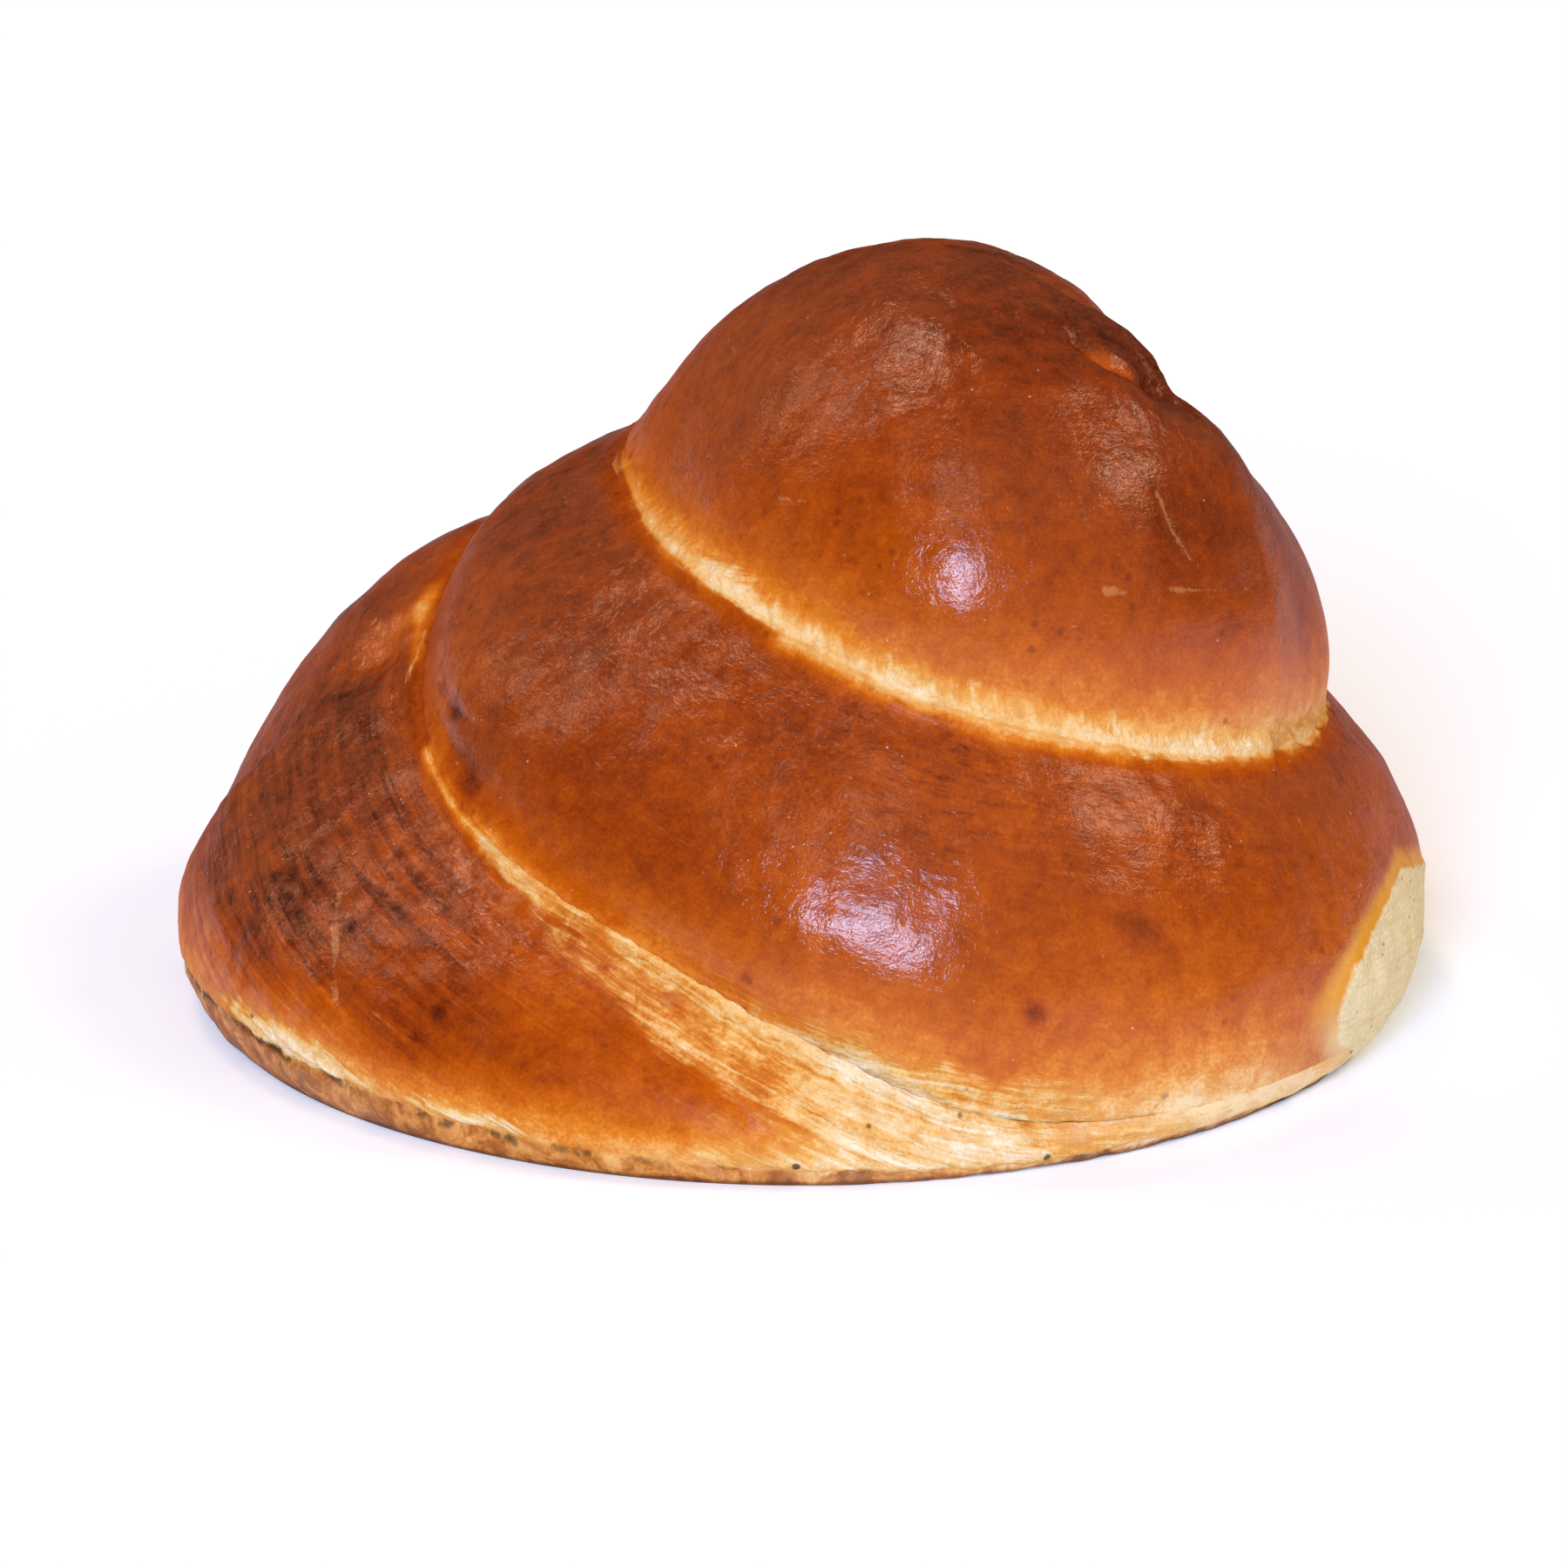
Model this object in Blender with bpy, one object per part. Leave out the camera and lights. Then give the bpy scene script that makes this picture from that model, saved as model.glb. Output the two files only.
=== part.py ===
"""A turban loaf of egg bread: one thick rope of dough coiled upwards and baked in one piece.

Metres and degrees, +Z up. The loaf stands on its flat base, and the origin is under the middle
of its bounding box. A single crease between the turns of the rope starts beside the peak and
winds down two turns, anticlockwise seen from above, to the front right of the base.

The skin is a ring of upright profiles. Each runs from the peak down over the crease twice to
the foot, so it has three stretches: the crown, the middle turn and the bottom turn.
"""
from math import cos, pi, radians, sin

import bmesh
import bpy
import numpy as np

HEIGHT = 0.121
LEAN = 0.0225          # how far the coil's axis leans towards +X at the peak
CREASE_START = -30.0   # direction in which the crease starts, and in which it ends two turns later
CREASE_FADE = 26.0     # turn over which the crease deepens at its start and dies away at its end

# The crease at every eighth of a turn, in millimetres: distance from the leaning axis, and height
CREASE_RADIUS = (24.5, 37.5, 42, 46, 48.5, 41, 46.5, 63, 71.5, 75.5, 78, 76, 71.5, 70.5, 76.5, 87, 91)
CREASE_HEIGHT = (110, 95.5, 91, 90, 87, 80.5, 75.5, 62.5, 49.5, 46.5, 50, 58, 67, 50, 32.5, 9.5, 8)

# The foot at every eighth of a turn, in millimetres: distance from the base's middle
FOOT_RADIUS = (94, 94, 94.5, 94.5, 95, 95, 94, 94, 94)

# How each stretch of a profile leaves its upper end and arrives at its lower one, at every eighth
# of a turn: the direction back into the stretch, in degrees above straight outwards
CROWN_ARRIVES = (70, 112, 112, 118, 122, 118, 100, 80, 70)
MIDDLE_LEAVES = (-34, -32, -30, -26, -28, -26, -38, -38, -40)
MIDDLE_ARRIVES = (70, 88, 92, 108, 122, 100, 94, 75, 65)
BOTTOM_LEAVES = (-40, -40, -36, -22, -10, -28, -22, -25, -30)
BOTTOM_ARRIVES = (50, 45, 50, 55, 48, 40, 55, 60, 50)
FULLNESS = 0.38        # length of a profile's handles, as a share of its chord

# The rope's tail lies behind a fold: past the fold's line the skin steps in, then eases back out
FOLD_TURN = 212.0      # turn from the crease's start to the fold
FOLD_HOOK = 10.0       # how much further the fold's top end reaches round the loaf
FOLD_DEPTH = 0.0035
FOLD_WIDTH = 5.0       # turn over which the skin steps in
FOLD_REACH = 65.0      # turn over which it eases back out
FOLD_TILT = 30.0       # direction of the step above straight outwards

COLUMNS = 84
CROWN_ROWS = 10
MIDDLE_ROWS = 13
BOTTOM_ROWS = 13
SEARCH_STEPS = 200     # steps for finding where a profile passes the crease

CRUST_COLOUR = (0.36, 0.115, 0.03, 1.0)
CRUST_ROUGHNESS = 0.38


def remove_objects():
    """Clear the scene before modelling."""
    for item in list(bpy.data.objects):
        bpy.data.objects.remove(item, do_unlink=True)


def read_stations(values, turn):
    """Smooth curve through values given at every eighth of a turn, read at one turn."""
    place = min(max(turn / 45.0, 0.0), len(values) - 1.0)
    index = min(int(place), len(values) - 2)
    share = place - index
    slopes = np.gradient(np.array(values, float))
    fall = 2 * share**3 - 3 * share**2 + 1
    ends = fall * values[index] + (1 - fall) * values[index + 1]
    bends = (share**3 - 2 * share**2 + share) * slopes[index] + (share**3 - share**2) * slopes[index + 1]
    return ends + bends


def smooth_step(share):
    """Rise from 0 to 1 with level ends."""
    share = min(max(share, 0.0), 1.0)
    return share * share * (3.0 - 2.0 * share)


def outwards(turn, tilt=0.0):
    """Unit vector pointing out of the loaf at a turn from the crease's start, tilted upwards."""
    way = radians(CREASE_START + turn)
    rise = radians(tilt)
    return np.array((cos(rise) * cos(way), cos(rise) * sin(way), sin(rise)))


def axis_point(height):
    """Point on the coil's leaning axis."""
    return np.array((LEAN * height / HEIGHT, 0.0, height))


def crease_point(turn):
    """Point on the crease, this far round from its start."""
    radius = read_stations(CREASE_RADIUS, turn) / 1000
    height = read_stations(CREASE_HEIGHT, turn) / 1000
    return axis_point(height) + radius * outwards(turn)


def foot_point(turn):
    """Point where the skin meets the flat base."""
    return read_stations(FOOT_RADIUS, turn) / 1000 * outwards(turn)


def stretch(turn, upper, leaves, lower, arrives):
    """Control points of one stretch of a profile."""
    handle = FULLNESS * np.linalg.norm(lower - upper)
    first = upper + handle * outwards(turn, leaves)
    second = lower + handle * outwards(turn, arrives)
    return upper, first, second, lower


def read_curve(controls, shares):
    """Points on the cubic curve with these four control points."""
    t = np.asarray(shares, float)[:, None]
    a, b, c, d = controls
    return (1 - t)**3 * a + 3 * (1 - t)**2 * t * b + 3 * (1 - t) * t**2 * c + t**3 * d


def row_shares(rows, level_start):
    """Shares from 0 to 1, crowded towards the ends, or only towards the end from a level start."""
    steps = np.linspace(0.0, 1.0, rows + 1)
    return np.sin(steps * pi / 2) if level_start else (1 - np.cos(steps * pi)) / 2


def ease_into_one(whole, crease, first, second, depth, shares_first, shares_second):
    """Blend two stretches that meet at the crease towards one curve that ignores it."""
    tries = np.linspace(0.0, 1.0, SEARCH_STEPS + 1)
    cut = tries[np.argmin(np.linalg.norm(read_curve(whole, tries) - crease, axis=1))]
    plain_first = read_curve(whole, cut * shares_first)
    plain_second = read_curve(whole, cut + (1 - cut) * shares_second)
    return plain_first + depth * (first - plain_first), plain_second + depth * (second - plain_second)


def fold_step(turn, share):
    """How far the skin of the bottom turn steps in behind the fold."""
    behind = FOLD_TURN + FOLD_HOOK * (1 - share)**8 - turn
    inwards = smooth_step(behind / FOLD_WIDTH) * smooth_step((FOLD_REACH - behind) / FOLD_REACH)
    return FOLD_DEPTH * inwards * sin(pi * share**1.5)


def profile_points(turn):
    """One profile of the skin, as the points of its crown, middle and bottom stretches."""
    peak = axis_point(HEIGHT)
    upper = crease_point(turn)
    lower = crease_point(turn + 360)
    foot = foot_point(turn)
    crown_end = read_stations(CROWN_ARRIVES, turn)
    middle_start = read_stations(MIDDLE_LEAVES, turn)
    middle_end = read_stations(MIDDLE_ARRIVES, turn)
    bottom_start = read_stations(BOTTOM_LEAVES, turn)
    bottom_end = read_stations(BOTTOM_ARRIVES, turn)
    crown_shares = row_shares(CROWN_ROWS, True)
    middle_shares = row_shares(MIDDLE_ROWS, False)
    bottom_shares = row_shares(BOTTOM_ROWS, False)

    crown = read_curve(stretch(turn, peak, 0, upper, crown_end), crown_shares)
    middle = read_curve(stretch(turn, upper, middle_start, lower, middle_end), middle_shares)
    bottom = read_curve(stretch(turn, lower, bottom_start, foot, bottom_end), bottom_shares)

    over_start = stretch(turn, peak, 0, lower, middle_end)
    depth = smooth_step(turn / CREASE_FADE)
    crown, middle = ease_into_one(over_start, upper, crown, middle, depth, crown_shares, middle_shares)
    over_end = stretch(turn, upper, middle_start, foot, bottom_end)
    depth = smooth_step((360 - turn) / CREASE_FADE)
    middle, bottom = ease_into_one(over_end, lower, middle, bottom, depth, middle_shares, bottom_shares)
    steps = np.array([fold_step(turn, share) for share in bottom_shares])
    bottom = bottom - steps[:, None] * outwards(turn, FOLD_TILT)
    return crown, middle, bottom


def zip_faces(mesh, left, right):
    """Fill between two lines of vertices of different counts, always across the shorter diagonal."""
    i = 0
    j = 0
    while i < len(left) - 1 or j < len(right) - 1:
        can_left = i < len(left) - 1
        can_right = j < len(right) - 1
        go_left = can_left and (not can_right or (left[i + 1].co - right[j].co).length
                                <= (left[i].co - right[j + 1].co).length)
        corner = left[i + 1] if go_left else right[j + 1]
        if left[i] is not right[j]:
            mesh.faces.new((left[i], corner, right[j]))
        i += go_left
        j += not go_left


def build_skin(mesh):
    """Make the skin and the flat base as one closed mesh."""
    profiles = [profile_points(360.0 * k / COLUMNS) for k in range(COLUMNS)]
    everything = np.concatenate([np.concatenate(stretches) for stretches in profiles])
    middle = (everything.min(axis=0) + everything.max(axis=0)) / 2
    shift = np.array((-middle[0], -middle[1], 0.0))

    peak = mesh.verts.new(axis_point(HEIGHT) + shift)
    columns = []
    for crown, middle_turn, bottom in profiles:
        below = np.concatenate((crown[1:], middle_turn[1:], bottom[1:])) + shift
        columns.append([peak] + [mesh.verts.new(point) for point in below])

    for left, right in zip(columns, columns[1:]):
        mesh.faces.new((peak, left[1], right[1]))
        for row in range(1, len(left) - 1):
            mesh.faces.new((left[row], left[row + 1], right[row + 1], right[row]))

    # the last column's crease is the first column's second crease, one turn further down
    last, first = columns[-1], columns[0]
    zip_faces(mesh, last[:CROWN_ROWS + 1], first[:CROWN_ROWS + MIDDLE_ROWS + 1])
    zip_faces(mesh, last[CROWN_ROWS:], first[CROWN_ROWS + MIDDLE_ROWS:])
    mesh.faces.new([column[-1] for column in reversed(columns)])


def crust_material():
    """Glossy egg-washed crust."""
    material = bpy.data.materials.new("crust")
    material.use_nodes = True
    shader = material.node_tree.nodes["Principled BSDF"]
    shader.inputs["Base Color"].default_value = CRUST_COLOUR
    shader.inputs["Roughness"].default_value = CRUST_ROUGHNESS
    shader.inputs["Metallic"].default_value = 0.0
    return material


def build_loaf():
    """Make the loaf as one solid."""
    shape = bpy.data.meshes.new("loaf")
    mesh = bmesh.new()
    build_skin(mesh)
    mesh.to_mesh(shape)
    mesh.free()
    shape.materials.append(crust_material())
    shape.shade_smooth()
    shape.set_sharp_from_angle(angle=radians(50))
    loaf = bpy.data.objects.new("loaf", shape)
    bpy.context.collection.objects.link(loaf)


remove_objects()
build_loaf()
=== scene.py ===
"""Looks of the turban loaf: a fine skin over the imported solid, its baked crust, floor and light.

The skin follows the same rules as the solid, on a finer grid: upright profiles that run from the
peak down over the crease twice to the foot, as crown, middle turn and bottom turn of the coil.
Relief then moves it along its normals, and fields on its vertices tell the crust material where
the dough browned, tore, stretched or touched its neighbour in the oven.

Metres and degrees, +Z up, unless a name ends in MM. The turn counts from the crease's start,
anticlockwise seen from above.
"""

from math import radians

import bpy
import numpy as np
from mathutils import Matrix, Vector, noise


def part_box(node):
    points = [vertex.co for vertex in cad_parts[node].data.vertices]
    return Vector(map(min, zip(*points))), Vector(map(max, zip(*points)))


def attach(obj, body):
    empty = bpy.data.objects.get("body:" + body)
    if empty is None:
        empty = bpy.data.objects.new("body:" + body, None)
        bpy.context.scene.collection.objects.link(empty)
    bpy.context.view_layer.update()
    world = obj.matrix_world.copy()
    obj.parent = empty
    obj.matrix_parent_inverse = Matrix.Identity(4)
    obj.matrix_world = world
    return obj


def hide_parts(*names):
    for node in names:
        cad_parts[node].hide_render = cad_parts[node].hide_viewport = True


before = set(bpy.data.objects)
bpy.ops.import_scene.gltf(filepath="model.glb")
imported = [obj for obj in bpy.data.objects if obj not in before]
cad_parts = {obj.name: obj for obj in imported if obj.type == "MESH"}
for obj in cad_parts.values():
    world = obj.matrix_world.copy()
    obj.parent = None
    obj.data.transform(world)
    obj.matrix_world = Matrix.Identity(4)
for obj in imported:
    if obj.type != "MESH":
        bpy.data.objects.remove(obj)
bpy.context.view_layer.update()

# The solid's shape
HEIGHT = 0.121
LEAN = 0.0225
CREASE_START = -30.0
CREASE_FADE = 26.0
END_FADE = 70.0        # turn over which the crease dies away at its end, where the crust hides it
CREASE_RADIUS_MM = (24.5, 37.5, 42, 46, 48.5, 41, 46.5, 63, 71.5, 75.5, 78, 76, 71.5, 70.5, 76.5, 87, 91)
CREASE_HEIGHT_MM = (110, 95.5, 91, 90, 87, 80.5, 75.5, 62.5, 49.5, 46.5, 50, 58, 67, 50, 32.5, 9.5, 8)
FOOT_RADIUS_MM = (94, 94, 94.5, 94.5, 95, 95, 94, 94, 94)
CROWN_ARRIVES = (70, 112, 112, 118, 122, 118, 100, 80, 70)
MIDDLE_LEAVES = (-34, -32, -30, -26, -28, -26, -38, -38, -40)
MIDDLE_ARRIVES = (70, 88, 92, 108, 122, 100, 94, 75, 65)
BOTTOM_LEAVES = (-40, -40, -36, -22, -10, -28, -22, -25, -30)
BOTTOM_ARRIVES = (50, 45, 50, 55, 48, 40, 55, 60, 50)
FULLNESS = 0.38
FOLD_TURN = 212.0
FOLD_HOOK = 10.0
FOLD_DEPTH = 0.0035
FOLD_WIDTH = 5.0
FOLD_REACH = 65.0
FOLD_TILT = 30.0

# The fine grid
COLUMNS = 460
CROWN_ROWS = 78
MIDDLE_ROWS = 62
BOTTOM_ROWS = 62
BACK_DENSITY = 0.25    # how close the columns are at the back, as a share of the front's
BASE_RINGS = 8
SEARCH_STEPS = 400
END_CROWDING = 0.4     # how strongly rows crowd towards the creases, from 0 to 1
FAR_MM = 20.0          # distance that stands for "nowhere near a crease"

# The crust along the crease, at every eighth of a turn from its start
RIM_PALE = (0, 0.12, 0.15, 0.15, 0.18, 0.50, 0.36, 0.36, 0.38, 0.30, 0.22, 0.18, 0.10, 0.02, 0.20, 0.36, 0.42)
RIM_WIDTH_MM = (5, 8, 9, 9, 8, 6, 8, 9, 11, 12, 10, 9, 7, 4, 8, 14, 13)
UNDER_PALE = (0, 0.1, 0.1, 0.1, 0.12, 0.22, 0.28, 0.30, 0.26, 0.08, 0.1, 0.12, 0.16, 0.20, 0.34, 0.44, 0.4)
UNDER_WIDTH_MM = (2, 2, 2, 2, 3, 4, 4, 4, 3.5, 3, 3, 3, 5, 8, 15, 16, 10)
TORN_LINE = (0, 0.2, 0.3, 0.3, 0.3, 0.50, 0.95, 1.0, 1.0, 0.5, 0.3, 0.3, 0.2, 0.1, 0.3, 0.3, 0.2)
TORN_WIDTH_MM = (1, 1, 1, 1, 1, 1.5, 3.4, 4.8, 5.0, 2, 1, 1, 1, 1, 1.2, 3, 2)
CREASE_FILL_MM = 2.0   # how far torn crumb fills the crease at the front

# The band of dough stretched out from under the middle turn, by turn
BAND_TURNS = (248, 255, 262, 272, 284, 296, 308)
BAND_WIDTH_MM = (0, 1.5, 4, 9, 12, 12, 12)
BAND_TORN = (0, 0.56, 0.56, 0.52, 0.52, 0.45, 0)

# Height over the base, at every eighth of a turn, of the line where the browned edge ends
SOLE_MM = (1.2, 4, 5.5, 6, 8, 10.5, 5.0, 1.6, 1.2)

# How torn the pale rim above that line is, by turn
RIM_TURNS = (232, 239, 246, 254, 259, 263, 267, 272, 276, 284, 292, 300)
RIM_TORN = (0, 1.2, 1.4, 1.1, 0.3, 0.9, 1.1, 0.9, 0.3, 0.6, 0.7, 0.3)

# How scorched the line itself is, by turn
SCORCH_TURNS = (120, 205, 228, 240, 256, 272, 290, 300, 316, 345)
SCORCHED = (0.3, 0.5, 1.0, 1.0, 0.8, 0.8, 0.4, 0.1, 0.4, 0.1)

# Marks on the crust, a painted glint and painted shade in a groove among them: kind, half-width in millimetres,
# strength, and a path of
# (stretch, turn, millimetres below the stretch's upper end)
MARKS = (
    ("gold", 5.0, 0.22, ((2, 205, 12), (2, 203, 5))),
    ("gold", 1.6, 0.30, ((2, 198, 2), (2, 203, 3), (2, 212, 2))),
    ("pale", 1.3, 0.50, ((2, 201, 4), (2, 204, 3))),
    ("pale", 0.6, 0.45, ((2, 207, 1.5), (2, 212, 2), (2, 216, 4))),
    ("pale", 0.5, 0.5, ((2, 199, 14), (2, 202, 11), (2, 206, 6.5))),
    ("dark", 1.2, 0.15, ((1, 235, 43.5),)),
    ("dark", 1.5, 0.15, ((2, 210, 17), (2, 208, 20))),
    ("dark", 1.2, 0.12, ((2, 202, 33),)),
    # Painted shade along the shallow groove that the dent on the same path presses in
    ("dark", 0.7, 0.16, ((1, 226, 42.5), (1, 233, 43.2), (1, 240, 42.5))),
    ("gold", 1.3, 0.36, ((2, 232, 1.2), (2, 246, 1.5), (2, 262, 1.8))),
    ("pale", 0.6, 0.20, ((2, 246, 0.8), (2, 256, 1.0), (2, 264, 1.2))),
    ("dent", 6.0, 2.2, ((2, 206, 11),)),
    ("dent", 1.2, 0.4, ((1, 226, 42.5), (1, 233, 43.2), (1, 239, 42.5))),
    ("dent", 1.5, 1.3, ((0, 342, 33), (0, 347, 38.5), (0, 353, 43), (1, 2, 21))),
    ("dent", 5.0, 2.1, ((0, 357, 43), (1, 2, 19), (1, 12, 13), (1, 24, 6), (1, 34, 2))),
    ("dark", 2.5, 0.16, ((1, 234, 43.5), (1, 246, 51))),
    ("dent", 3.5, -0.8, ((0, 344, 44), (0, 350, 49))),
    ("dent", 5.0, -0.7, ((0, 340, 26), (0, 350, 30))),
    # Painted highlight: a golden glint laid along the notch in the crown
    ("gold", 1.6, 0.34, ((0, 344.5, 36.5), (0, 348, 39), (0, 351.5, 41))),
    ("dent", 2.8, -1.3, ((2, 256, 2.5), (2, 263, 3.5))),
    ("pale", 2.0, 0.40, ((2, 255, 2.5), (2, 264, 3.5))),
    ("gold", 2.0, 0.25, ((2, 252, 2), (2, 266, 3))),
    ("dark", 1.4, 0.30, ((1, 319.8, 45.4),)),
    ("dark", 2.4, 0.16, ((1, 329, 30), (1, 333, 34))),
    ("dark", 1.2, 0.25, ((2, 246, 27),)),
    ("dark", 1.2, 0.25, ((2, 262, 27),)),
    ("dent", 0.7, -0.35, ((2, 257.8, 29.6),)),
    ("dent", 0.7, -0.35, ((2, 268.5, 30.9),)),
    ("dark", 0.9, 0.14, ((2, 228, 41), (2, 236, 33))),
    ("dark", 0.8, 0.12, ((2, 229, 36), (2, 233, 31), (2, 238, 29))),
    ("gold", 2.6, 0.30, ((1, 282, 1.6), (1, 300, 2.2), (1, 318, 1.8), (1, 332, 1.2))),
)

# Thin cracks, as paths of the same kind
CRACKS = (
    ((2, 241, 24.5), (2, 245.5, 30), (2, 250, 36)),
    ((2, 244, 29), (2, 244.5, 26)),
    ((0, 341.8, 62.8), (0, 343.0, 68.0), (0, 345.2, 73.2)),
    ((0, 330.5, 76.2), (0, 343.0, 77.0), (0, 355.5, 79.3)),
)

# Colours, as linear shares of red, green and blue
CRUST_STOPS = (
    (0.00, (0.84, 0.64, 0.36)),
    (0.12, (0.77, 0.40, 0.115)),
    (0.26, (0.64, 0.195, 0.016)),
    (0.42, (0.49, 0.098, 0.003)),
    (0.58, (0.36, 0.056, 0.0012)),
    (0.74, (0.235, 0.031, 0.0015)),
    (0.88, (0.125, 0.016, 0.002)),
    (1.00, (0.055, 0.008, 0.002)),
)
CRUMB_STOPS = (
    (0.00, (0.24, 0.040, 0.004)),
    (0.20, (0.52, 0.15, 0.016)),
    (0.42, (0.76, 0.33, 0.060)),
    (0.64, (0.86, 0.53, 0.20)),
    (0.84, (0.90, 0.66, 0.38)),
    (1.00, (0.97, 0.82, 0.60)),
)
EDGE_STOPS = (
    (0.00, (0.085, 0.018, 0.005)),
    (0.35, (0.30, 0.075, 0.012)),
    (0.65, (0.54, 0.20, 0.042)),
    (1.00, (0.70, 0.36, 0.11)),
)
GLAZE_STOPS = (
    (0.0, (0.66, 0.25, 0.010)),
    (1.0, (0.82, 0.42, 0.030)),
)
KISS_STOPS = (
    (0.00, (0.66, 0.50, 0.24)),
    (0.40, (0.86, 0.72, 0.42)),
    (1.00, (0.95, 0.88, 0.68)),
)
LIP_COLOUR = (0.76, 0.55, 0.24)
# Painted shade inside the pale patch's pores
PORE_SHADE_COLOUR = (0.22, 0.14, 0.05)
SCORCH_COLOUR = (0.050, 0.020, 0.008)
FOOT_COLOUR = (0.10, 0.030, 0.008)
CRACK_COLOUR = (0.66, 0.34, 0.13)
BLISTER_COLOUR = (0.85, 0.70, 0.50)
FRECKLE_COLOUR = (0.10, 0.012, 0.004)

# The crust material
ALONG_ROPE = (17, 17, 1000)    # stretches strand coordinates, so that lumps are long along the rope
DRAWN_OUT = (6, 6, 1000)       # the same, longer still
ACROSS_ROPE = (62, 62, 260)    # the same, long across the rope
COAT_ROUGHNESS = 0.08
COAT_IOR = 1.38
SPECULAR_LEVEL = 0.03

# Studio
CAMERA_PLACE = (0.0005, -1.0545, 0.3666)
CAMERA_AIM = (-0.0026, -0.0060, 0.0340)
LENS_MM = 157.96
FLOOR_SIZE = 12.0
FLOOR_GLOW = 0.26
WALL_LIGHT = 0.30
CEILING_LIGHT = 0.04
FLASH_COLOUR = (0.53, 0.68, 1.0)
WARM_WHITE = (1.0, 0.82, 0.50)
WINDOW_COLOUR = (1.0, 0.66, 0.44)


# ---------------------------------------------------------------- shape rules

def read_stations(values, turn):
    """Smooth curve through values given at every eighth of a turn."""
    values = np.array(values, float)
    place = np.clip(np.asarray(turn, float) / 45.0, 0.0, len(values) - 1.0)
    index = np.minimum(place.astype(int), len(values) - 2)
    share = place - index
    slopes = np.gradient(values)
    rise, fall = 3 * share**2 - 2 * share**3, 2 * share**3 - 3 * share**2 + 1
    ends = fall * values[index] + rise * values[index + 1]
    bends = (share**3 - 2 * share**2 + share) * slopes[index] + (share**3 - share**2) * slopes[index + 1]
    return ends + bends


def smooth_step(share):
    """Rise from 0 to 1 with level ends."""
    share = np.clip(share, 0.0, 1.0)
    return share * share * (3.0 - 2.0 * share)


def rise_between(value, start, end):
    """0 at start, 1 at end, smooth between; start may be the larger."""
    return smooth_step((value - start) / (end - start))


def bell(value, centre, width):
    """1 at the centre, falling away over the width on both sides."""
    return np.exp(-((value - centre) / width)**2)


def outwards(turn, tilt=0.0):
    """Unit vectors pointing out of the loaf at each turn, tilted upwards."""
    way, tilt = np.radians(CREASE_START + np.asarray(turn, float)), np.radians(tilt)
    return np.stack(np.broadcast_arrays(np.cos(tilt) * np.cos(way), np.cos(tilt) * np.sin(way), np.sin(tilt)), -1)


def axis_point(height):
    """Points on the coil's leaning axis."""
    height = np.asarray(height, float)
    return np.stack((LEAN * height / HEIGHT, 0.0 * height, height), -1)


def crease_point(turn):
    """Points on the crease."""
    radius = read_stations(CREASE_RADIUS_MM, turn) / 1000
    height = read_stations(CREASE_HEIGHT_MM, turn) / 1000
    return axis_point(height) + radius[..., None] * outwards(turn)


def stretch(turn, upper, leaves, lower, arrives):
    """Control points of one stretch of each profile."""
    handle = FULLNESS * np.linalg.norm(lower - upper, axis=-1, keepdims=True)
    return upper, upper + handle * outwards(turn, leaves), lower + handle * outwards(turn, arrives), lower


def read_curve(controls, shares):
    """Points on each cubic curve; shares is one row for all curves or one row each."""
    t = np.atleast_2d(shares)[..., None]
    a, b, c, d = (control[:, None, :] for control in controls)
    return (1 - t)**3 * a + 3 * (1 - t)**2 * t * b + 3 * (1 - t) * t**2 * c + t**3 * d


def row_shares(rows):
    """Shares from 0 to 1, a little crowded towards both ends."""
    steps = np.linspace(0.0, 1.0, rows + 1)
    return steps - END_CROWDING * np.sin(2 * np.pi * steps) / (2 * np.pi)


def ease_into_one(whole, crease, first, second, depth, shares_first, shares_second):
    """Blend two stretches that meet at the crease towards one curve that ignores it."""
    tries = np.linspace(0.0, 1.0, SEARCH_STEPS + 1)
    gaps = np.linalg.norm(read_curve(whole, tries) - crease[:, None, :], axis=-1)
    cut = tries[np.argmin(gaps, axis=1)][:, None]
    plain_first = read_curve(whole, cut * shares_first)
    plain_second = read_curve(whole, cut + (1 - cut) * shares_second)
    depth = depth[:, None, None]
    return plain_first + depth * (first - plain_first), plain_second + depth * (second - plain_second)


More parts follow.
